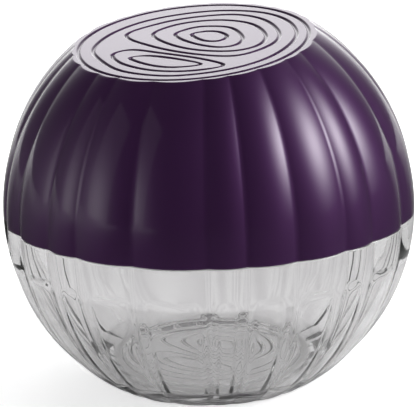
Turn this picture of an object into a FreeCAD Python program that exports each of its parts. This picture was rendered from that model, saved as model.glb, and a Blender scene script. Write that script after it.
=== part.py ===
"""Onion keeper: a clear fluted bowl with a round neck, and a fluted dome lid whose slanted flat top is
cut with the rings of a sliced onion. The shell is an ellipsoid with 24 flutes, six widths repeated in each
quarter turn.
Origin: centre of the foot on the table. +Z is up, and the slice leans towards -X and -Y."""
import FreeCAD, Part

import math
import os

# Driving sizes, in millimetres and degrees
SIZES = [
    ("crest_radius", 60.0, "widest radius, over the crest of the widest flute"),
    ("dome_rise", 61.3, "height the dome would reach above its widest level, unsliced"),
    ("bowl_fall", 60.0, "depth the bowl would reach below its widest level, with no foot"),
    ("seam_drop", 1.5, "the lid meets the bowl this far below the widest level"),
    ("foot_radius", 31.0, "flat foot, over the flutes"),
    ("flute_depth", 1.2, "from crest to valley at the widest level"),
    ("first_valley", -66.0, "azimuth of the first valley, from -Y towards +X"),
    ("flute_a", 16.0, "widths of the six flutes that share a quarter turn"),
    ("flute_b", 11.0, ""),
    ("flute_c", 17.5, ""),
    ("flute_d", 21.0, ""),
    ("flute_e", 10.5, ""),
    ("flute_f", 14.0, ""),
    ("slice_radius", 35.3, "edge of the slanted flat top"),
    ("slice_tilt", 5.9, "lean of the flat top"),
    ("slice_azimuth", -40.0, "side that the flat top leans towards, from -Y towards +X"),
    ("lid_wall", 2.4, "wall of the dome at the valleys"),
    ("slice_wall", 3.0, "plate of the flat top"),
    ("rim_wall", 1.8, "thinnest wall of the lid round the neck"),
    ("rim_height", 7.5, "round bore at the lid's mouth"),
    ("neck_rise", 6.0, "neck above the seam"),
    ("neck_wall", 1.4, "wall of the neck"),
    ("neck_gap", 0.3, "running gap between neck and lid, on the radius"),
    ("bowl_wall", 2.4, "wall of the bowl in a niche"),
    ("rib_rise", 0.6, "how far the ribs between the niches stand in from them"),
    ("band_height", 9.6, "thick round band between the seam and the niches"),
    ("niche_arch", 2.0, "height in which a niche reaches its full depth"),
    ("floor", 3.0, "floor of the bowl"),
    ("groove_margin", 2.3, "from the edge of the slice or foot to its outer ring"),
    ("groove_width", 1.2, "onion rings cut in the slice and the foot"),
    ("groove_depth", 0.7, ""),
]
FLUTES = ["flute_a", "flute_b", "flute_c", "flute_d", "flute_e", "flute_f"]
QUARTERS = 4
BANDS = 13

# Onion rings, drawn counterclockwise for an outer ring of this radius, x to the right and y to the back
DRAWN_RADIUS = 33.0
ARC_TOLERANCE = 0.25
LAYER = [(29.5, 0.5), (27.0, 12.5), (20.0, 21.5), (8.5, 26.5), (-3.5, 26.3), (-15.0, 22.0),
         (-24.0, 13.0), (-28.5, 1.5), (-27.0, -8.0), (-20.5, -20.5), (-9.0, -28.0), (2.0, -29.0),
         (13.0, -26.0), (21.5, -19.5), (27.5, -9.5)]
LARGE_HEART = [
    [(24.6, 0.0), (21.2, 13.4), (13.0, 21.3), (1.0, 22.5), (-10.0, 19.2), (-19.3, 11.0),
     (-12.0, -1.0), (0.0, -11.3), (12.0, -16.0), (21.5, -9.5)],
    [(20.7, -0.5), (17.4, 10.8), (9.7, 17.0), (0.8, 18.2), (-6.8, 15.6), (-11.6, 9.3),
     (-6.9, -0.5), (1.0, -8.0), (11.0, -11.6), (18.2, -8.6)],
    [(14.1, -0.4), (11.0, 9.4), (3.8, 12.9), (-1.5, 11.8), (-5.2, 7.3), (-0.6, -1.0), (6.5, -6.9),
     (12.0, -6.4)],
    [(9.7, 1.8), (7.5, 6.6), (3.5, 8.2), (-0.4, 6.4), (2.8, 0.2), (7.1, -1.5)]]
SMALL_HEART = [
    [(8.2, -23.1), (2.1, -16.2), (-9.2, -8.0), (-17.8, -2.8), (-23.0, -5.8), (-20.5, -13.9),
     (-13.3, -21.5), (-4.9, -25.3), (3.4, -25.6)],
    [(1.9, -21.0), (-3.5, -15.4), (-12.5, -9.6), (-18.0, -10.2), (-12.5, -17.6), (-5.8, -21.5)]]

UP = FreeCAD.Vector(0, 0, 1)
doc = FreeCAD.newDocument("OnionKeeper")
sheet = doc.addObject("Spreadsheet::Sheet", "Sizes")
for row, (alias, value, meaning) in enumerate(SIZES, start=1):
    sheet.set(f"A{row}", alias)
    sheet.set(f"B{row}", str(value))
    sheet.setAlias(f"B{row}", alias)
    sheet.set(f"C{row}", meaning)
doc.recompute()


def size(alias):
    return float(sheet.get(alias))


# Levels, worked out once from the sizes, as heights above the table
crest = size("crest_radius")
centre_height = size("bowl_fall") * math.sqrt(1 - (size("foot_radius") / crest) ** 2)
seam_height = centre_height - size("seam_drop")
rim_top = seam_height + size("rim_height")
neck_top = seam_height + size("neck_rise")
band_floor = seam_height - size("band_height")
niche_full = band_floor - size("niche_arch")
slice_distance = size("dome_rise") * math.sqrt(1 - (size("slice_radius") / crest) ** 2)
dome_top = centre_height + (slice_distance + size("dome_rise")) / 2

# Radii of the round fit between neck and lid
rim_radius = crest - size("flute_depth") - size("rim_wall")
neck_radius = rim_radius - size("neck_gap")
bore_radius = neck_radius - size("neck_wall")


def curve_levels(low, high, radius, reach, bands):
    """Radii and heights evenly spaced along an ellipse that reaches so far from its widest level."""
    first = math.asin((low - centre_height) / reach)
    last = math.asin((high - centre_height) / reach)
    for k in range(bands + 1):
        angle = first + (last - first) * k / bands
        yield radius * math.cos(angle), centre_height + reach * math.sin(angle)


def flute_edges():
    """Azimuths of the valleys, once round."""
    total = sum(size(name) for name in FLUTES)
    edges = [size("first_valley")]
    for name in FLUTES * QUARTERS:
        edges.append(edges[-1] + size(name) / total * 360 / QUARTERS)
    return edges


def around(radius, azimuth, height):
    angle = math.radians(azimuth)
    return FreeCAD.Vector(radius * math.sin(angle), -radius * math.cos(angle), height)


def fluted_section(name, radius, height):
    """One level section, an arc for each flute. All arcs bend alike, so a narrow flute stands lower."""
    edges = flute_edges()
    valley = radius * (1 - size("flute_depth") / crest)
    widest = math.radians(max(b - a for a, b in zip(edges, edges[1:])) / 2)
    bulge = (radius - valley * math.cos(widest)) / math.sin(widest)
    arcs = []
    for start, end in zip(edges, edges[1:]):
        half = math.radians((end - start) / 2)
        top = around(valley * math.cos(half) + bulge * math.sin(half), (start + end) / 2, height)
        arcs.append(Part.Arc(around(valley, start, height), top, around(valley, end, height)).toShape())
    obj = doc.addObject("Part::Feature", name)
    obj.Shape = Part.Wire(arcs)
    return obj


def fluted_loft(name, levels):
    """A fluted solid, lofted straight from level to level."""
    loft = doc.addObject("Part::Loft", name)
    loft.Sections = [fluted_section(f"{name}Section{k}", radius, height)
                     for k, (radius, height) in enumerate(levels)]
    loft.Solid = True
    loft.Ruled = True
    return loft


def turned(name, outline):
    """A round solid, turned about the upright axis from its outline of radii and heights."""
    profile = doc.addObject("Part::Feature", name + "Profile")
    points = [FreeCAD.Vector(radius, 0, height) for radius, height in outline]
    points = [FreeCAD.Vector(0, 0, points[0].z)] + points + [FreeCAD.Vector(0, 0, points[-1].z)]
    profile.Shape = Part.makePolygon(points + points[:1])
    solid = doc.addObject("Part::Revolution", name)
    solid.Source = profile
    solid.Axis = UP
    solid.Angle = 360
    solid.Solid = True
    return solid


def cylinder(name, height_above_table, **expressions):
    """A round primitive whose sizes follow the sheet."""
    obj = doc.addObject("Part::Cylinder", name)
    for key, expression in expressions.items():
        obj.setExpression(key, expression)
    obj.Placement.Base.z = height_above_table
    return obj


def cut(name, base, tool):
    obj = doc.addObject("Part::Cut", name)
    obj.Base, obj.Tool = base, tool
    return obj


def fuse(name, *shapes):
    obj = doc.addObject("Part::MultiFuse", name)
    obj.Shapes = list(shapes)
    return obj


# The slanted slice: a plane square to its own upward direction, at a distance from the shell's centre
swing = FreeCAD.Rotation(UP, size("slice_azimuth"))
lean = FreeCAD.Rotation(FreeCAD.Vector(1, 0, 0), size("slice_tilt"))
slice_rotation = swing.multiply(lean).multiply(swing.inverted())
slice_up = slice_rotation.multVec(UP)


def slice_placement(depth):
    """The slice's own frame, moved down into the lid by a depth."""
    shell_centre = FreeCAD.Vector(0, 0, centre_height)
    return FreeCAD.Placement(shell_centre + slice_up * (slice_distance - depth), slice_rotation)


def block_above(name, depth):
    """A block that takes away what lies above the slice, or above a plane that lies deeper."""
    obj = doc.addObject("Part::Cylinder", name)
    obj.setExpression("Radius", "2 * Sizes.crest_radius")
    obj.setExpression("Height", "2 * Sizes.dome_rise")
    obj.Placement = slice_placement(depth)
    return obj


def ring_wire(points, scale, offset):
    """A smooth closed line of arcs through points given counterclockwise, moved outwards by an offset."""
    moved = []
    for k, (x, y) in enumerate(points):
        before, after = points[k - 1], points[(k + 1) % len(points)]
        along = FreeCAD.Vector(after[0] - before[0], after[1] - before[1], 0).normalize()
        moved.append(FreeCAD.Vector(x * scale + along.y * offset, y * scale - along.x * offset, 0))
    curve = Part.BSplineCurve()
    curve.interpolate(moved, PeriodicFlag=True)
    return Part.Wire([arc.toShape() for arc in curve.toBiArcs(ARC_TOLERANCE)])


def onion_rings(name, edge_radius, placement):
    """Closed channels, one for each onion ring of a flat face, that stand out of it as much as they go in."""
    outer_radius = edge_radius - size("groove_margin")
    scale = outer_radius / DRAWN_RADIUS
    half, depth = size("groove_width") / 2, size("groove_depth")
    sides = (half, -half)
    pairs = [[Part.Wire(Part.Circle(FreeCAD.Vector(), UP, outer_radius + side).toShape()) for side in sides]]
    for points in [LAYER, *LARGE_HEART, *SMALL_HEART]:
        pairs.append([ring_wire(points, scale, side) for side in sides])
    channels = []
    for pair in pairs:
        face = Part.makeFace(pair, "Part::FaceMakerBullseye")
        face.translate(UP * -depth)
        channels.append(face.extrude(UP * 2 * depth))
    obj = doc.addObject("Part::Feature", name)
    obj.Shape = Part.makeCompound(channels)
    obj.Placement = placement
    return obj


# The lid: a fluted dome, sliced, hollowed and bored round at its mouth
dome = fluted_loft("Dome", curve_levels(seam_height, dome_top, crest, size("dome_rise"), BANDS))
hollow_radius = crest - size("flute_depth") - size("lid_wall")
hollow_reach = size("dome_rise") - size("lid_wall")
hollow_levels = curve_levels(rim_top, dome_top - size("lid_wall"), hollow_radius, hollow_reach, BANDS)
hollow = turned("DomeHollow", hollow_levels)
rim_bore = cylinder("RimBore", seam_height, Height="Sizes.rim_height",
                    Radius="Sizes.crest_radius - Sizes.flute_depth - Sizes.rim_wall")
ceiling = block_above("CeilingBlock", size("slice_wall"))
room = fuse("LidRoom", cut("HollowUnderSlice", hollow, ceiling), rim_bore)
shell = cut("LidShell", cut("SlicedDome", dome, block_above("SliceBlock", 0)), room)
lid = cut("Lid", shell, onion_rings("SliceRings", size("slice_radius"), slice_placement(0)))
lid.Label = "lid"

# The base: a fluted bowl with a round neck. Inside, a niche in each flute lies below the round band
bowl = fluted_loft("Bowl", curve_levels(0, seam_height, crest, size("bowl_fall"), BANDS))
neck = cylinder("Neck", band_floor, Height="Sizes.band_height + Sizes.neck_rise",
                Radius="Sizes.crest_radius - Sizes.flute_depth - Sizes.rim_wall - Sizes.neck_gap")
core_wall = size("bowl_wall") + size("rib_rise")
core_reach = size("bowl_fall") - core_wall
core_levels = list(curve_levels(size("floor"), niche_full, crest - core_wall, core_reach, BANDS))
core = turned("Core", core_levels + [(bore_radius, band_floor), (bore_radius, neck_top + size("neck_rise"))])
niche_levels = list(curve_levels(size("floor"), niche_full, crest - size("bowl_wall"),
                                 size("bowl_fall") - size("bowl_wall"), BANDS))
niches = fluted_loft("Niches", niche_levels + [(core_levels[-1][0], band_floor)])
foot_rings = onion_rings("FootRings", size("foot_radius"), FreeCAD.Placement())
base_shell = cut("BaseShell", fuse("BowlWithNeck", bowl, neck), fuse("BowlRoom", core, niches))
base = cut("Base", base_shell, foot_rings)
base.Label = "base"

doc.recompute()
for obj in doc.Objects:
    if "Invalid" in obj.State or "Error" in obj.State:
        raise RuntimeError(f"{obj.Name} failed: {obj.State}")

os.makedirs("parts", exist_ok=True)
for piece in (lid, base):
    shape = piece.Shape
    if shape.isNull() or not shape.isValid() or len(shape.Solids) != 1:
        raise RuntimeError(f"{piece.Label} isn't one valid solid")
    shape.exportStep(f"parts/{piece.Label}.step")
    print(f"{piece.Label}: {len(shape.Faces)} faces, {shape.Volume / 1000:.1f} cm3, "
          f"{shape.BoundBox.XLength:.1f} x {shape.BoundBox.YLength:.1f} x {shape.BoundBox.ZLength:.1f} mm")
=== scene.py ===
# %% [markdown]
# # Onion keeper
# The real object is a ball for half an onion: a clear bowl below and an aubergine dome above. Both are
# moulded with soft vertical flutes, and the dome's flat, slanted top is cut with the rings of a sliced
# onion. The imported model gives the bodies and the box that everything has to stay in, so it is loaded
# first, and its box gives the levels of the seam and of the neck.

# %% Load the imported model
import functools
import math

import bmesh
import bpy
from mathutils import Matrix, Vector


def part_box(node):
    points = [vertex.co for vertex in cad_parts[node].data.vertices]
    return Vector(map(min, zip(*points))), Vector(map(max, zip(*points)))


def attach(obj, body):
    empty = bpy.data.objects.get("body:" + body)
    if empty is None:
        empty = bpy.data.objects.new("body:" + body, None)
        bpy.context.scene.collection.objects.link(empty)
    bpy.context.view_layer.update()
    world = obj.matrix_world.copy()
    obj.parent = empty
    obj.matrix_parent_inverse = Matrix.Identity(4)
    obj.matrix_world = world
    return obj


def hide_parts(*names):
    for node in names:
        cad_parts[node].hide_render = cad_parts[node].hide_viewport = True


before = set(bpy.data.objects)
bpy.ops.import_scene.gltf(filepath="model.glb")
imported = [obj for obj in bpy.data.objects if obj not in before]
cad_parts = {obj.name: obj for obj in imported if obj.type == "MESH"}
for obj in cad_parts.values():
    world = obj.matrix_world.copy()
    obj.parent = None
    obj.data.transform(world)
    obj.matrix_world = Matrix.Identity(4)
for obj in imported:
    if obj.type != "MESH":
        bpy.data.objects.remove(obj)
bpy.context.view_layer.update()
lid_low, lid_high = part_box("lid")
base_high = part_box("base")[1]

# %% [markdown]
# ## Sizes
# The two pieces share one shell, so they share one set of sizes. The levels of the seam and of the
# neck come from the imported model, and the rest are the mould's own sizes, written in millimetres.

# %% Sizes of the shell
MM = 0.001
CREST = 60.0 * MM
DOME_RISE = 61.3 * MM
BOWL_FALL = 60.0 * MM
FLUTE_DEPTH = 1.2 * MM
FOOT_RADIUS = 31.0 * MM
CENTRE = math.sqrt(BOWL_FALL**2 - FOOT_RADIUS**2)
SEAM = lid_low[2]
NECK_TOP = base_high[2]
SLICE_RADIUS = 35.3 * MM
SLICE_TILT = math.radians(5.9)
SLICE_AZIMUTH = math.radians(-40)
SLICE_DISTANCE = DOME_RISE * math.sqrt(1 - (SLICE_RADIUS / CREST) ** 2)

# %% [markdown]
# ## The flutes
# Seen from above the shell isn't a circle but a chain of shallow arcs, like the segments of a pumpkin.
# Six widths repeat in each quarter, which keeps the ball from looking like a gear. All arcs bend
# alike, so a narrow flute stands a little lower than a wide one. One function gives the
# radius at any azimuth as a share of the crest radius, and both pieces use it.

# %% Flute edges and the swell between them
FLUTE_WIDTHS = [16, 11, 17.5, 21, 10.5, 14]
FIRST_VALLEY = -66.0
QUARTERS = 4
VALLEY = 1 - FLUTE_DEPTH / CREST

edges = [FIRST_VALLEY]
for width in FLUTE_WIDTHS * QUARTERS:
    edges.append(edges[-1] + width * 90 / sum(FLUTE_WIDTHS))
FLUTES = [(math.radians(start), math.radians(end)) for start, end in zip(edges, edges[1:])]
WIDEST_HALF = max(end - start for start, end in FLUTES) / 2
BULGE = (1 - VALLEY * math.cos(WIDEST_HALF)) / math.sin(WIDEST_HALF)


def flute_at(azimuth):
    """The edges of the flute that holds an azimuth."""
    azimuth = FLUTES[0][0] + (azimuth - FLUTES[0][0]) % math.tau
    for start, end in FLUTES:
        if azimuth <= end + 1e-9:
            return azimuth, start, end
    return azimuth, *FLUTES[-1]


@functools.cache
def swell(azimuth):
    """Radius of the shell at an azimuth, 1 at the widest crest: an arc through valley, crest and valley."""
    azimuth, start, end = flute_at(azimuth)
    half = (end - start) / 2
    chord = VALLEY * math.sin(half)
    crest = VALLEY * math.cos(half) + BULGE * math.sin(half)
    sagitta = crest - VALLEY * math.cos(half)
    radius = (chord**2 + sagitta**2) / (2 * sagitta)
    centre = crest - radius
    aside = azimuth - (start + end) / 2
    return centre * math.cos(aside) + math.sqrt(radius**2 - (centre * math.sin(aside)) ** 2)


crests = [swell((start + end) / 2) for start, end in FLUTES]
print("flutes", len(FLUTES), "crests from", round(min(crests), 4), "to", round(max(crests), 4))

# %% [markdown]
# ## A shell from stations
# A moulded shell is a wall that follows a path: up the outside, over the edge and down the inside.
# bmesh's grid operator gives a flat net in one call. Here it has one row for each station of the path
# and one column for each azimuth, and it is rolled up: every vertex is laid where its station says for
# its azimuth, and the first and last columns are merged. That keeps the rows in step with the
# flutes and with the slanted slice, which a boolean cut would not.

# %% Roll up a path of stations
UP = Vector((0, 0, 1))


def around(radius, azimuth, height):
    """A point at an azimuth from the front towards the right, round the upright axis."""
    return Vector((radius * math.sin(azimuth), -radius * math.cos(azimuth), height))


def roll_grid(bm, stations, azimuths):
    """A round net with a row for each station and a column for each azimuth."""
    columns = len(azimuths)
    rows = len(stations) - 1
    net = bmesh.ops.create_grid(bm, x_segments=columns, y_segments=rows, size=0.5)["verts"]
    seam = []
    for vert in net:
        column = round((vert.co.x + 0.5) * columns)
        if column in (0, columns):
            seam.append(vert)
        vert.co = stations[round((vert.co.y + 0.5) * rows)](azimuths[column % columns])
    bmesh.ops.remove_doubles(bm, verts=seam, dist=MM / 10000)


def ring(radius, height):
    """A station that is a plain level circle."""
    return lambda azimuth: around(radius, azimuth, height)


def toward(corner, other, distance):
    """A station at a distance from a corner, straight towards another station."""
    def at(azimuth):
        point = corner(azimuth)
        return point + (other(azimuth) - point).normalized() * distance
    return at


def turn(before, corner, after, radius, steps=3, longer=1):
    """Stations round a corner: a support row, a small curve and a support row, longer on the far side."""
    near = toward(corner, before, radius)
    far = toward(corner, after, radius * longer)

    def curved(share):
        def at(azimuth):
            middle = corner(azimuth)
            return near(azimuth).lerp(middle, share).lerp(middle.lerp(far(azimuth), share), share)
        return at

    curve = [curved(k / steps) for k in range(steps + 1)]
    return [toward(corner, before, 2 * radius), *curve, toward(corner, after, 2 * radius * longer)]


# %% [markdown]
# ## The wall as an ellipse
# From the side the dome and the bowl are each half an ellipse. A station on it is found from the angle
# of the ellipse. For the dome that angle runs from the seam to the slanted slice, so every
# column is stretched to end exactly on the cut.

# %% Points on the shell, and where a column meets a slanted plane
SHELL_CENTRE = Vector((0, 0, CENTRE))
SWING = Matrix.Rotation(SLICE_AZIMUTH, 3, "Z")
SLICE_TURN = SWING @ Matrix.Rotation(SLICE_TILT, 3, "X") @ SWING.transposed()
SLICE_UP = SLICE_TURN @ UP
SLICE_MIDDLE = SHELL_CENTRE + SLICE_UP * SLICE_DISTANCE


def on_shell(radius, reach, azimuth, angle):
    """A point of an ellipsoid round the shell's centre."""
    return SHELL_CENTRE + around(radius * math.cos(angle), azimuth, reach * math.sin(angle))


def angle_at_height(height, reach):
    """The ellipse angle of a level, for an ellipse with this reach up or down."""
    return math.asin((height - CENTRE) / reach)


def angle_at_plane(radius, reach, azimuth, distance):
    """The ellipse angle at which a column reaches a plane parallel to the slice."""
    sideways = radius * (SLICE_UP.x * math.sin(azimuth) - SLICE_UP.y * math.cos(azimuth))
    upwards = SLICE_UP.z * reach
    return math.atan2(upwards, sideways) - math.acos(distance / math.hypot(sideways, upwards))


def dome_station(share, radius, reach, low, distance, fluted):
    """A station between a level low on the dome, at share 0, and a plane of the slice, at share 1."""
    start = angle_at_height(low, reach)

    def at(azimuth):
        wide = radius * (swell(azimuth) if fluted else 1)
        end = angle_at_plane(wide, reach, azimuth, distance)
        return on_shell(wide, reach, azimuth, start + (end - start) * share)
    return at


def slice_circle(radius):
    """A station that is a circle on the slice."""
    return lambda azimuth: SLICE_MIDDLE + SLICE_TURN @ around(radius, azimuth, 0)


# %% [markdown]
# ## Onion rings
# The flat faces carry closed grooves. Each one is drawn by a few points, and a cubic through the points
# gives the smooth line. The groove is again a rolled net: its rows lie side by side across the groove,
# down one flank and up the other, and its columns follow the line. The half onion has one
# outer layer, a large heart of four nested rings and a small heart of two, all inside a plain circle.
# The points are in millimetres on a flat face of the drawn radius, and are scaled to each face.

# %% Ring lines
DRAWN_RADIUS = 33.0
GROOVE_MARGIN = 2.3 * MM
LAYER = [(29.5, 0.5), (27.0, 12.5), (20.0, 21.5), (8.5, 26.5), (-3.5, 26.3), (-15.0, 22.0),
         (-24.0, 13.0), (-28.5, 1.5), (-27.0, -8.0), (-20.5, -20.5), (-9.0, -28.0), (2.0, -29.0),
         (13.0, -26.0), (21.5, -19.5), (27.5, -9.5)]
LARGE_HEART = [
    [(24.6, 0.0), (21.2, 13.4), (13.0, 21.3), (1.0, 22.5), (-10.0, 19.2), (-19.3, 11.0),
     (-12.0, -1.0), (0.0, -11.3), (12.0, -16.0), (21.5, -9.5)],
    [(20.7, -0.5), (17.4, 10.8), (9.7, 17.0), (0.8, 18.2), (-6.8, 15.6), (-11.6, 9.3),
     (-6.9, -0.5), (1.0, -8.0), (11.0, -11.6), (18.2, -8.6)],
    [(14.1, -0.4), (11.0, 9.4), (3.8, 12.9), (-1.5, 11.8), (-5.2, 7.3), (-0.6, -1.0), (6.5, -6.9),
     (12.0, -6.4)],
    [(9.7, 1.8), (7.5, 6.6), (3.5, 8.2), (-0.4, 6.4), (2.8, 0.2), (7.1, -1.5)]]
SMALL_HEART = [
    [(8.2, -23.1), (2.1, -16.2), (-9.2, -8.0), (-17.8, -2.8), (-23.0, -5.8), (-20.5, -13.9),
     (-13.3, -21.5), (-4.9, -25.3), (3.4, -25.6)],
    [(1.9, -21.0), (-3.5, -15.4), (-12.5, -9.6), (-18.0, -10.2), (-12.5, -17.6), (-5.8, -21.5)]]
CIRCLE = [(DRAWN_RADIUS * math.cos(k * math.tau / 16), DRAWN_RADIUS * math.sin(k * math.tau / 16))
          for k in range(16)]
RING_LINES = [CIRCLE, LAYER, *LARGE_HEART, *SMALL_HEART]


def offset_points(points, scale, offset):
    """The drawn points to scale, each moved out from its neighbours' line."""
    for k, point in enumerate(points):
        along = Vector(points[(k + 1) % len(points)]) - Vector(points[k - 1])
        along.normalize()
        yield Vector(point) * scale + Vector((along.y, -along.x)) * offset


def cubic_through(points):
    """A closed line that passes through every point, as a function of a share of its length."""
    count = len(points)

    def at(share):
        place = share % 1 * count
        k = int(place)
        t = place - k
        a, b, c, d = (points[(k + step) % count] for step in (-1, 0, 1, 2))
        return (2 * b + (c - a) * t + (2 * a - 5 * b + 4 * c - d) * t**2 + (3 * b - a - 3 * c + d) * t**3) / 2
    return at


# %% Grooves and the flat between them
# Each row's distance from the ring line and its depth, in millimetres
GROOVE_ROWS = [(0.78, 0.0), (0.60, 0.04), (0.38, 0.38), (0.16, 0.55),
               (-0.16, 0.55), (-0.38, 0.38), (-0.60, 0.04), (-0.78, 0.0)]
GROOVE_COLUMNS = 144


def groove_station(points, scale, offset, depth, place):
    """A station along one ring line, at an offset beside it and at a depth below the face."""
    line = cubic_through(list(offset_points(points, scale, offset)))

    def at(azimuth):
        point = line(azimuth / math.tau)
        return place(Vector((point.x, point.y, -depth)))
    return at


def cut_rings(bm, edge_radius, place, deeper=1):
    """Nets for all ring grooves of a flat face. place turns a drawn point into a point of the piece."""
    scale = (edge_radius - GROOVE_MARGIN) / DRAWN_RADIUS
    turns = [k * math.tau / GROOVE_COLUMNS for k in range(GROOVE_COLUMNS)]
    for points in RING_LINES:
        rows = [groove_station(points, scale, offset * MM, depth * deeper * MM, place)
                for offset, depth in GROOVE_ROWS]
        roll_grid(bm, rows, turns)


def fill_flat(bm, point, normal):
    """Flat faces over the open edges that lie in a plane, which leaves the grooves between them open."""
    rim = [edge for edge in bm.edges if edge.is_boundary
           and all(abs((vert.co - point).dot(normal)) < 0.001 * MM for vert in edge.verts)]
    made = bmesh.ops.triangle_fill(bm, use_beauty=True, edges=rim, normal=normal)
    return [item for item in made["geom"] if isinstance(item, bmesh.types.BMFace)]


def to_object(name, bm):
    """An object at the origin with a bmesh as its mesh."""
    mesh = bpy.data.meshes.new(name)
    bm.to_mesh(mesh)
    bm.free()
    made = bpy.data.objects.new(name, mesh)
    bpy.context.scene.collection.objects.link(made)
    return made


def finish_shell(name, bm, flats):
    """A closed, smooth piece with flat-shaded flats."""
    bmesh.ops.recalc_face_normals(bm, faces=bm.faces)
    for face in bm.faces:
        face.smooth = True
    for face in flats:
        face.smooth = False
    open_edges = sum(1 for edge in bm.edges if not edge.is_manifold)
    triangles = sum(len(face.verts) - 2 for face in bm.faces)
    volume = round(bm.calc_volume() * 1e6, 1)
    print(name, "triangles", triangles, "open edges", open_edges, "volume", volume, "cm3")
    return to_object(name, bm)


# %% [markdown]
# ## The dome
# The lid is about two and a half millimetres thick. Its path starts at the rim of the flat top, rounds
# the edge of the slice, runs down the flutes to the seam, turns in under the rim, climbs the round bore
# that slides over the neck, and follows the plain inner dome up to the ceiling.

# %% Model the dome
LID_COLUMNS = 16
LID_ROWS = 46
INNER_ROWS = 20
LID_WALL = 2.4 * MM
SLICE_WALL = 3.0 * MM
RIM_WALL = 1.8 * MM
RIM_HEIGHT = 7.5 * MM
SEAM_PLAY = 0.05 * MM
SLICE_ROUND = 0.3 * MM
PLATE_RADIUS = 33.85 * MM
RIM_ROUND = 0.3 * MM
CEILING_ROUND = 1.5 * MM

# Shares of the way up the dome, beside its lower and its upper edge, that give the edges their direction
JUST_ABOVE = 0.02
JUST_BELOW = 0.95

rim_radius = CREST - FLUTE_DEPTH - RIM_WALL
hollow_radius = CREST - FLUTE_DEPTH - LID_WALL
hollow_reach = DOME_RISE - LID_WALL
rim_top = SEAM + RIM_HEIGHT
lid_azimuths = [start + (end - start) * k / LID_COLUMNS for start, end in FLUTES for k in range(LID_COLUMNS)]


def outer_dome(share):
    """A station on the outside, from the seam at share 0 to the slice at share 1."""
    return dome_station(share, CREST, DOME_RISE, SEAM + SEAM_PLAY, SLICE_DISTANCE, True)


def inner_dome(share):
    """A station on the inside, from the top of the bore at share 0 to the ceiling at share 1."""
    return dome_station(share, hollow_radius, hollow_reach, rim_top, SLICE_DISTANCE - SLICE_WALL, False)


slice_edge = outer_dome(1)
plate_rim = slice_circle(PLATE_RADIUS)
seam_edge = outer_dome(0)
bore_foot = ring(rim_radius, SEAM + SEAM_PLAY)
bore_head = ring(rim_radius, rim_top)
ledge = inner_dome(0)
ceiling_edge = inner_dome(1)
ceiling_middle = SLICE_MIDDLE - SLICE_UP * SLICE_WALL
ceiling_rim = toward(ceiling_edge, lambda azimuth: ceiling_middle, 3 * CEILING_ROUND)

lid_path = [plate_rim]
lid_path += turn(plate_rim, slice_edge, outer_dome(JUST_BELOW), SLICE_ROUND, steps=5, longer=3)
lid_path += [outer_dome(k / LID_ROWS) for k in range(LID_ROWS - 2, 0, -1)]
lid_path += turn(outer_dome(JUST_ABOVE), seam_edge, bore_foot, RIM_ROUND)
lid_path += turn(seam_edge, bore_foot, bore_head, RIM_ROUND)
lid_path += turn(bore_foot, bore_head, ledge, RIM_ROUND / 3)
lid_path += turn(bore_head, ledge, inner_dome(JUST_ABOVE), RIM_ROUND / 3)
lid_path += [inner_dome(k / INNER_ROWS) for k in range(1, INNER_ROWS)]
lid_path += turn(inner_dome(JUST_BELOW), ceiling_edge, ceiling_rim, CEILING_ROUND)
lid_path += [ceiling_rim]

bm = bmesh.new()
roll_grid(bm, lid_path, lid_azimuths)
cut_rings(bm, SLICE_RADIUS, lambda drawn: SLICE_MIDDLE + SLICE_TURN @ drawn)
lid_flats = fill_flat(bm, SLICE_MIDDLE, SLICE_UP)
lid_flats += fill_flat(bm, ceiling_middle, SLICE_UP)
dome = finish_shell("onion_dome", bm, lid_flats)

# %% [markdown]
# ## The bowl
# The bowl is the harder half, because it is clear: its inside shows as much as its outside. Its floor is
# raised over a shallow recess, and the same rings are cut in the floor's underside. Below a
# thick round band each flute has a niche on the inside, with round top corners, and a rib
# is left between neighbours. The niches are a mask over azimuth and height: inside it the wall is thin,
# outside it the wall is round and thicker. The mask changes quickly along the ribs and gently below the
# band, because a steep step in clear plastic bends so much light away that it looks like a black line.

# %% Niches on the inside of the bowl
BOWL_WALL = 2.4 * MM
RIB_RISE = 0.6 * MM
BAND_HEIGHT = 9.6 * MM
RIB_HALF = math.radians(2.5)
NICHE_CORNER = 3.0 * MM
RIB_EDGE = 1.1 * MM
ARCH_EDGE = 1.6 * MM
BAND_EASE = 5.0 * MM
NECK_GAP = 0.3 * MM
NECK_WALL = 1.4 * MM

band_floor = SEAM - BAND_HEIGHT
niche_radius = CREST - BOWL_WALL
core_radius = niche_radius - RIB_RISE
neck_radius = rim_radius - NECK_GAP
bore_radius = neck_radius - NECK_WALL


def level_radius(radius, reach, height):
    """The radius of an ellipsoid round the shell's centre, at a level."""
    return radius * math.sqrt(1 - ((height - CENTRE) / reach) ** 2)


def ease(share):
    """A smooth step from 0 to 1."""
    share = min(max(share, 0), 1)
    return share * share * (3 - 2 * share)


def niche_mask(azimuth, height):
    """1 in a niche and 0 outside it, from the distance to a rectangle with round top corners."""
    azimuth, start, end = flute_at(azimuth)
    half_width = ((end - start) / 2 - RIB_HALF) * core_radius
    corner = min(NICHE_CORNER, half_width)
    across = abs(azimuth - (start + end) / 2) * core_radius - half_width + corner
    above = height - (band_floor - ARCH_EDGE) + corner
    distance = math.hypot(max(across, 0), max(above, 0)) + min(max(across, above), 0) - corner
    steepness = max(above, 0) / max(math.hypot(max(across, 0), max(above, 0)), MM / 1000)
    edge = RIB_EDGE + (ARCH_EDGE - RIB_EDGE) * steepness
    return ease(0.5 - distance / (2 * edge))


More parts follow.
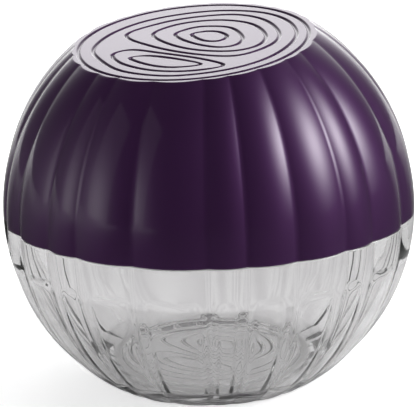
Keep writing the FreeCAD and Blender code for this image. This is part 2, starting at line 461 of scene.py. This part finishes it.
def inner_bowl(height):
    """A station on the inside of the bowl below the band, which the ribs run out of gently."""
    rib = level_radius(core_radius, BOWL_FALL - BOWL_WALL - RIB_RISE, height)
    core = rib + (bore_radius - rib) * ease((height - band_floor) / BAND_EASE + 1)
    niche = level_radius(niche_radius, BOWL_FALL - BOWL_WALL, height)

    def at(azimuth):
        depth = niche * swell(azimuth) - core
        return ring(core + depth * niche_mask(azimuth, height), height)(azimuth)
    return at


# %% Columns for the bowl
# The first columns from a flute's edge cross the rib, in degrees, and the rest fan out to its middle
HALF_COLUMNS = 15
RIB_STEPS = [0, 0.9, 1.6, 2.05, 2.35, 2.65, 2.95]
FAN = 1.3


def bowl_azimuths():
    """Azimuths that crowd along both edges of each niche."""
    for start, end in FLUTES:
        half = (end - start) / 2
        steps = [math.radians(step) for step in RIB_STEPS]
        rest = HALF_COLUMNS - len(steps) + 1
        last = steps[-1]
        steps += [last + (half - last) * (k / rest) ** FAN for k in range(1, rest + 1)]
        yield from (start + step for step in steps)
        yield from (end - step for step in reversed(steps[1:-1]))


# %% Model the bowl
OUTER_ROWS = 34
FLOOR = 7.0 * MM
RECESS = 4.0 * MM
RECESS_RADIUS = 27.6 * MM
RECESS_RIM = 1.0 * MM
RECESS_DRAFT = 0.4 * MM
RECESS_ROUND = 0.35 * MM
FOOT_ROUND = 0.5 * MM
SEAM_ROUND = 0.3 * MM
FLOOR_ROUND = 0.5 * MM
RINGS_RADIUS = RECESS_RADIUS + 0.2 * MM
RINGS_DEEPER = 1.3
WALL_ROWS = 24

# Shares of the way up the bowl, beside its foot and its seam, that give those edges their direction
ABOVE_FOOT = 0.05
BELOW_SEAM = 0.98

# Levels below the band where the niches' round corners need close rows, in millimetres
CORNER_STEPS = [0.0, -0.4, -0.8, -1.2, -1.6, -2.0, -2.4, -2.8, -3.2, -3.6, -4.0, -4.5, -5.0, -5.6, -6.4]


def outer_bowl(share):
    """A station on the outside, from the foot at share 0 to the seam at share 1."""
    low = angle_at_height(0, BOWL_FALL)
    high = angle_at_height(SEAM, BOWL_FALL)
    angle = low + (high - low) * share
    return lambda azimuth: on_shell(CREST * swell(azimuth), BOWL_FALL, azimuth, angle)


foot_edge = outer_bowl(0)
recess_middle = ring(RECESS_RADIUS - RECESS_RIM, RECESS)
recess_top = ring(RECESS_RADIUS, RECESS)
recess_foot = ring(RECESS_RADIUS + RECESS_DRAFT, 0)
bowl_edge = outer_bowl(1)
neck_foot = ring(neck_radius, SEAM)
neck_outside = ring(neck_radius, NECK_TOP)
neck_inside = ring(bore_radius, NECK_TOP)
band_top = ring(bore_radius, SEAM)
floor_edge = inner_bowl(FLOOR)
floor_middle = Vector((0, 0, FLOOR))
floor_rim = toward(floor_edge, lambda azimuth: floor_middle, 3 * FLOOR_ROUND)
wall_low = FLOOR + 2 * FLOOR_ROUND
wall_high = band_floor + CORNER_STEPS[-1] * MM

bowl_path = [recess_middle]
bowl_path += turn(recess_middle, recess_top, recess_foot, RECESS_ROUND)
bowl_path += turn(recess_top, recess_foot, foot_edge, RECESS_ROUND)
bowl_path += turn(recess_foot, foot_edge, outer_bowl(ABOVE_FOOT), FOOT_ROUND)
bowl_path += [outer_bowl(k / OUTER_ROWS) for k in range(1, OUTER_ROWS)]
bowl_path += turn(outer_bowl(BELOW_SEAM), bowl_edge, neck_foot, SEAM_ROUND)
bowl_path += turn(bowl_edge, neck_foot, neck_outside, SEAM_ROUND)
bowl_path += turn(neck_foot, neck_outside, neck_inside, SEAM_ROUND)
bowl_path += turn(neck_outside, neck_inside, band_top, SEAM_ROUND)
bowl_path += [band_top, ring(bore_radius, (SEAM + band_floor) / 2)]
bowl_path += [inner_bowl(band_floor + step * MM) for step in CORNER_STEPS]
low_angle = angle_at_height(wall_low, BOWL_FALL - BOWL_WALL)
high_angle = angle_at_height(wall_high, BOWL_FALL - BOWL_WALL)
for k in range(1, WALL_ROWS):
    angle = high_angle + (low_angle - high_angle) * k / WALL_ROWS
    bowl_path.append(inner_bowl(CENTRE + (BOWL_FALL - BOWL_WALL) * math.sin(angle)))
bowl_path += turn(inner_bowl(wall_low), floor_edge, floor_rim, FLOOR_ROUND, steps=5)
bowl_path += [floor_rim]

bm = bmesh.new()
roll_grid(bm, bowl_path, list(bowl_azimuths()))
cut_rings(bm, RINGS_RADIUS, lambda drawn: Vector((drawn.x, drawn.y, RECESS - drawn.z)), RINGS_DEEPER)
bowl_flats = fill_flat(bm, Vector((0, 0, RECESS)), UP)
bowl_flats += fill_flat(bm, floor_middle, UP)
bowl = finish_shell("clear_bowl", bm, bowl_flats)

# %% [markdown]
# ## Writing shader maths
# A material is a graph of nodes, but its maths reads best as a formula. The small class below wraps an
# output socket, so that a sum or product of such values adds the Math nodes by itself. Every other node
# comes from one function, which takes its type, its settings and the values or links of its sockets.

# %% A socket that can be used in formulas
class Value:
    """An output socket in a node tree, with the arithmetic that the materials use."""

    def __init__(self, tree, socket):
        self.tree = tree
        self.socket = socket

    def math(self, operation, *terms):
        return node(self.tree, "ShaderNodeMath", {"operation": operation}, dict(enumerate(terms)))

    def __add__(self, other):
        return self.math("ADD", self, other)

    def __radd__(self, other):
        return self.math("ADD", other, self)

    def __sub__(self, other):
        return self.math("SUBTRACT", self, other)

    def __rsub__(self, other):
        return self.math("SUBTRACT", other, self)

    def __mul__(self, other):
        return self.math("MULTIPLY", self, other)

    def __rmul__(self, other):
        return self.math("MULTIPLY", other, self)

    def __pow__(self, other):
        return self.math("POWER", self, other)

    def __abs__(self):
        return self.math("ABSOLUTE", self)

    def clamped(self):
        """The value held between 0 and 1."""
        return node(self.tree, "ShaderNodeClamp", {}, {"Value": self})


def node(tree, kind, settings=None, inputs=None, output=0):
    """Add a node: its settings first, then the values or links of its sockets. Returns one output."""
    made = tree.nodes.new(kind)
    for key, value in (settings or {}).items():
        setattr(made, key, value)
    for key, value in (inputs or {}).items():
        if isinstance(value, Value):
            tree.links.new(value.socket, made.inputs[key])
        else:
            made.inputs[key].default_value = value
    return Value(tree, made.outputs[output])


def new_material(name):
    """A material with an empty tree and its output node."""
    material = bpy.data.materials.new(name)
    material.use_nodes = True
    tree = material.node_tree
    tree.nodes.clear()
    end = tree.nodes.new("ShaderNodeOutputMaterial")
    return material, tree, end


def mix_colours(tree, share, first, second):
    """The first colour at share 0 and the second at share 1."""
    return node(tree, "ShaderNodeMix", {"data_type": "RGBA"}, {0: share, 6: first, 7: second}, output=2)


# %% [markdown]
# ## Aubergine plastic
# The dome is moulded in one deep colour with a pearly, broad gloss under a clear skin. Real moulded
# plastic is never quite even: the pigment clouds a little, the gloss varies where the melt cooled first,
# and the surface has a very faint orange peel. Noise on the object's own coordinates gives all three.

# %% Aubergine plastic
PIGMENT_DEEP = (0.052, 0.0150, 0.070, 1)
PIGMENT_LIGHT = (0.064, 0.0190, 0.086, 1)
GLOSS = 0.44
GLOSS_CLOUDS = 0.08

aubergine, tree, end = new_material("aubergine_plastic")
place = node(tree, "ShaderNodeTexCoord", output="Object")
clouds = node(tree, "ShaderNodeTexNoise", {}, {"Vector": place, "Scale": 28.0, "Detail": 3.0})
peel = node(tree, "ShaderNodeTexNoise", {}, {"Vector": place, "Scale": 700.0, "Detail": 2.0})
pigment = mix_colours(tree, clouds, PIGMENT_DEEP, PIGMENT_LIGHT)
gloss = GLOSS + GLOSS_CLOUDS * clouds
relief = node(tree, "ShaderNodeBump", {}, {"Strength": 0.05, "Distance": 0.0001, "Height": peel})
shader = node(tree, "ShaderNodeBsdfPrincipled", {}, {
    "Base Color": pigment, "Roughness": gloss, "Normal": relief, "IOR": 1.5, "Metallic": 0.6,
    "Specular IOR Level": 0.2, "Coat Weight": 1.0, "Coat Roughness": 0.08, "Coat IOR": 1.5})
tree.links.new(shader.socket, end.inputs["Surface"])
dome.data.materials.append(aubergine)

# %% [markdown]
# ## Clear plastic
# The bowl is clear styrene. It bends light strongly, loses a little at each surface, and has the same
# faint unevenness of colour and gloss.

# %% Clear plastic
CLEAR_TINT = (0.930, 0.926, 0.929, 1)
CLEAR_DEEP = (0.905, 0.900, 0.904, 1)
CLEAR_HAZE = 0.015

clear, tree, end = new_material("clear_plastic")
place = node(tree, "ShaderNodeTexCoord", output="Object")
clouds = node(tree, "ShaderNodeTexNoise", {}, {"Vector": place, "Scale": 30.0, "Detail": 2.0})
tint = mix_colours(tree, clouds, CLEAR_TINT, CLEAR_DEEP)
gloss = CLEAR_HAZE * clouds
shader = node(tree, "ShaderNodeBsdfPrincipled", {}, {
    "Base Color": tint, "Roughness": gloss, "IOR": 1.52, "Transmission Weight": 1.0})
tree.links.new(shader.socket, end.inputs["Surface"])
bowl.data.materials.append(clear)

# %% [markdown]
# ## Studio
# The photograph was taken in front of white, with a large soft light high on the right, a dim one on the
# left and a pale sheet behind, which the flat top mirrors. Each is a soft glow in the world round
# one direction, brightest in the middle and fading out, like a diffused lamp. It has one peak for the rays
# that a surface mirrors and another for the light that it sheds on the object. Rays that look straight at
# the world see plain white, and rays through the bowl see it a little greyer, so neither depends on the
# lights.

# %% World
THROUGH = 0.80
MIRRORED = 0.02
SHED = 0.11

# Azimuth, elevation and half width of each glow in degrees, then its peak in mirrored rays and its peak
# in the light that it sheds
GLOWS = {
    "right lamp": (81, 28, 13, 10.0, 8.8),
    "right spill": (90, 13, 26, 0.0, 3.3),
    "left lamp": (-70, 6, 14, 1.1, 2.6),
    "left spill": (-92, -2, 26, 0.2, 1.8),
    "sheet behind": (180, 31, 21, 1.8, 3.2),
    "foot of the sheet": (180, 2, 16, 2.6, 0.0)}


def ray_kinds(tree):
    """Values that are 1 for rays that see a surface directly, through plastic, or mirrored on a surface."""
    camera_ray = node(tree, "ShaderNodeLightPath", output="Is Camera Ray")
    glossy_ray = node(tree, "ShaderNodeLightPath", output="Is Glossy Ray")
    through_ray = node(tree, "ShaderNodeLightPath", output="Is Transmission Ray")
    scattered = node(tree, "ShaderNodeLightPath", output="Diffuse Depth")
    passed = node(tree, "ShaderNodeLightPath", output="Transmission Depth")
    direct = scattered.math("LESS_THAN", scattered, 0.5)
    inside = passed.math("GREATER_THAN", passed, 0.5)
    looked = inside.math("MAXIMUM", camera_ray + through_ray, inside)
    return camera_ray, (looked - camera_ray) * direct, glossy_ray * (1 - inside)


def direction(azimuth, elevation):
    """A direction from the shell, by azimuth from the front towards the right and by elevation."""
    rise = math.radians(elevation)
    return around(math.cos(rise), math.radians(azimuth), math.sin(rise))


def glow(tree, looking, mirrored, azimuth, elevation, half_width, peak, shed_peak):
    """A soft light round one direction, at half its peak a half width away from it."""
    sockets = {0: looking, 1: direction(azimuth, elevation)}
    facing = node(tree, "ShaderNodeVectorMath", {"operation": "DOT_PRODUCT"}, sockets, output=1)
    narrowness = math.log(0.5) / math.log(math.cos(math.radians(half_width)))
    soft = facing.math("MAXIMUM", facing, 0.0) ** narrowness
    return soft * (shed_peak + (peak - shed_peak) * mirrored)


world = bpy.data.worlds.new("studio")
bpy.context.scene.world = world
world.use_nodes = True
tree = world.node_tree
tree.nodes.clear()
looking = node(tree, "ShaderNodeTexCoord", output="Generated")
seen, through, mirrored = ray_kinds(tree)
lights = mirrored * MIRRORED + (1 - mirrored) * SHED
for numbers in GLOWS.values():
    lights = lights + glow(tree, looking, mirrored, *numbers)
strength = seen + through * THROUGH + (1 - seen) * (1 - through) * lights
sky = node(tree, "ShaderNodeBackground", {}, {"Color": (1, 1, 1, 1), "Strength": strength})
end = tree.nodes.new("ShaderNodeOutputWorld")
tree.links.new(sky.socket, end.inputs["Surface"])

# %% [markdown]
# ## Table
# The table is pale paper. To the camera it is nearly white, and the object keeps its shadow on it. Through
# the bowl it is painted greyer as shade, with faint painted stripes of shade that let the flutes show in the
# clear band. Mirrored on the dome it is painted dark, a painted reflection, as in the photograph, apart from
# what lies close by, straight behind or far out on the left, where the left lamp shines and a painted pool of
# its light is kept half pale.

# %% Table
FLOOR_SIZE = 6.0
TABLE_GLOW = 0.60
THROUGH_GLOW = 0.28
PAPER_LOW = (0.90, 0.90, 0.905, 1)
PAPER_HIGH = (0.93, 0.93, 0.93, 1)
# Low and high colours and rate of the painted stripes of shade on the paper seen through the bowl
PAINTED_SHADE_LOW = (0.63, 0.622, 0.63, 1)
PAINTED_SHADE_HIGH = (0.80, 0.80, 0.80, 1)
PAINTED_STRIPE_RATE = 330.0
# Painted reflection: the dark colour that the dome mirrors in place of the table, and the zones where it
# stays pale
PAINTED_DARK_REFLECTION = (0.04, 0.04, 0.04, 1)
BEHIND_SPREAD = 0.7
BEHIND_RISE = 3.0
LEFT_SPREAD = 0.6
LEFT_RISE = 1.6
LEFT_START = 0.15
LEFT_SHARE = 0.5
FAR_RISE = 20.0
FAR_START = 2.0

table_colour, tree, end = new_material("pale_table")
place = node(tree, "ShaderNodeTexCoord", output="Object")
across = node(tree, "ShaderNodeSeparateXYZ", {}, {0: place}, output=0)
away = node(tree, "ShaderNodeSeparateXYZ", {}, {0: place}, output=1)
reach = node(tree, "ShaderNodeVectorMath", {"operation": "LENGTH"}, {0: place}, output=1)
seen, through, mirrored = ray_kinds(tree)

grain = node(tree, "ShaderNodeTexNoise", {}, {"Vector": place, "Scale": 6.0, "Detail": 2.0})
# Painted shade: through the bowl the paper is a darker grey, crossed by faint painted stripes of shade
painted_shade_stripes = 0.5 + 0.5 * across.math("SINE", across * PAINTED_STRIPE_RATE)
paper = mix_colours(tree, grain, PAPER_LOW, PAPER_HIGH)
painted_shade_paper = mix_colours(tree, painted_shade_stripes, PAINTED_SHADE_LOW, PAINTED_SHADE_HIGH)
pale = node(tree, "ShaderNodeBsdfDiffuse", {}, {"Color": mix_colours(tree, through, paper, painted_shade_paper)})

# Painted reflection: mirrored on the dome the table is painted dark, except close by, straight behind, and a
# half-pale painted pool of the left lamp's light on the left
behind = ((away - BEHIND_SPREAD * abs(across)) * BEHIND_RISE).clamped()
left = ((-1.0 * across - LEFT_SPREAD * abs(away)) * LEFT_RISE - LEFT_START).clamped()
far = (reach * FAR_RISE - FAR_START).clamped()
painted_reflection_share = mirrored * (1 - behind) * (1 - LEFT_SHARE * left) * far
dark = node(tree, "ShaderNodeBsdfDiffuse", {}, {"Color": PAINTED_DARK_REFLECTION})
table = node(tree, "ShaderNodeMixShader", {}, {0: painted_reflection_share, 1: pale, 2: dark})

strength = seen * TABLE_GLOW + through * THROUGH_GLOW
table_glow = node(tree, "ShaderNodeEmission", {}, {"Color": (1, 1, 1, 1), "Strength": strength})
mixed = node(tree, "ShaderNodeAddShader", {}, {0: table, 1: table_glow})
tree.links.new(mixed.socket, end.inputs["Surface"])

bm = bmesh.new()
bmesh.ops.create_grid(bm, x_segments=1, y_segments=1, size=FLOOR_SIZE)
floor = to_object("floor", bm)
floor.data.materials.append(table_colour)

# %% [markdown]
# ## Lamp
# One real lamp, low on the left and facing the ball, joins the left glow. A radiance of 1 looks white.

# %% Lamp
LAMP_RADIANCE = 0.12
LAMP_WIDTH = 0.75
LAMP_HEIGHT = 1.6
LAMP_DISTANCE = 1.2

light = bpy.data.lights.new("left_window", "AREA")
light.shape = "RECTANGLE"
light.size = LAMP_WIDTH
light.size_y = LAMP_HEIGHT
light.energy = LAMP_RADIANCE * 4 * LAMP_WIDTH * LAMP_HEIGHT
lamp = bpy.data.objects.new("left_window", light)
bpy.context.scene.collection.objects.link(lamp)
outwards = direction(azimuth=-67, elevation=17)
lamp.location = SHELL_CENTRE + outwards * LAMP_DISTANCE
lamp.rotation_euler = outwards.to_track_quat("Z", "Y").to_euler()
lamp.visible_camera = False

# %% [markdown]
# ## Camera
# The lens is long, as the nearly level seam and the ball's even outline show. The camera looks down by
# about 17 degrees and is rolled a little.

# %% Camera
CAMERA_DISTANCE = 15 * CREST
CAMERA_LENS = 267.8
CAMERA_ELEVATION = math.radians(16.66)
CAMERA_ROLL = math.radians(-1.32)
CAMERA_OFFSET = (0.0026 * CREST, 0.0034 * CREST)

back = Vector((0, -math.cos(CAMERA_ELEVATION), math.sin(CAMERA_ELEVATION)))
side = Vector((1, 0, 0))
upward = back.cross(side)
right = side * math.cos(CAMERA_ROLL) + upward * math.sin(CAMERA_ROLL)
top = upward * math.cos(CAMERA_ROLL) - side * math.sin(CAMERA_ROLL)
camera_data = bpy.data.cameras.new("camera")
camera_data.lens = CAMERA_LENS
camera_data.sensor_width = 36
camera_data.clip_end = 50
camera = bpy.data.objects.new("camera", camera_data)
bpy.context.scene.collection.objects.link(camera)
camera_place = SHELL_CENTRE + back * CAMERA_DISTANCE - right * CAMERA_OFFSET[0] - top * CAMERA_OFFSET[1]
camera.matrix_world = Matrix.Translation(camera_place) @ Matrix((right, top, back)).transposed().to_4x4()
bpy.context.scene.camera = camera
bpy.context.scene.view_settings.view_transform = "Standard"

# %% [markdown]
# ## Who moves with what
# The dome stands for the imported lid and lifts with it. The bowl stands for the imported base.

# %% Ride, replace and finish
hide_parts("lid")
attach(dome, "lid")
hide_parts("base")
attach(bowl, "base")
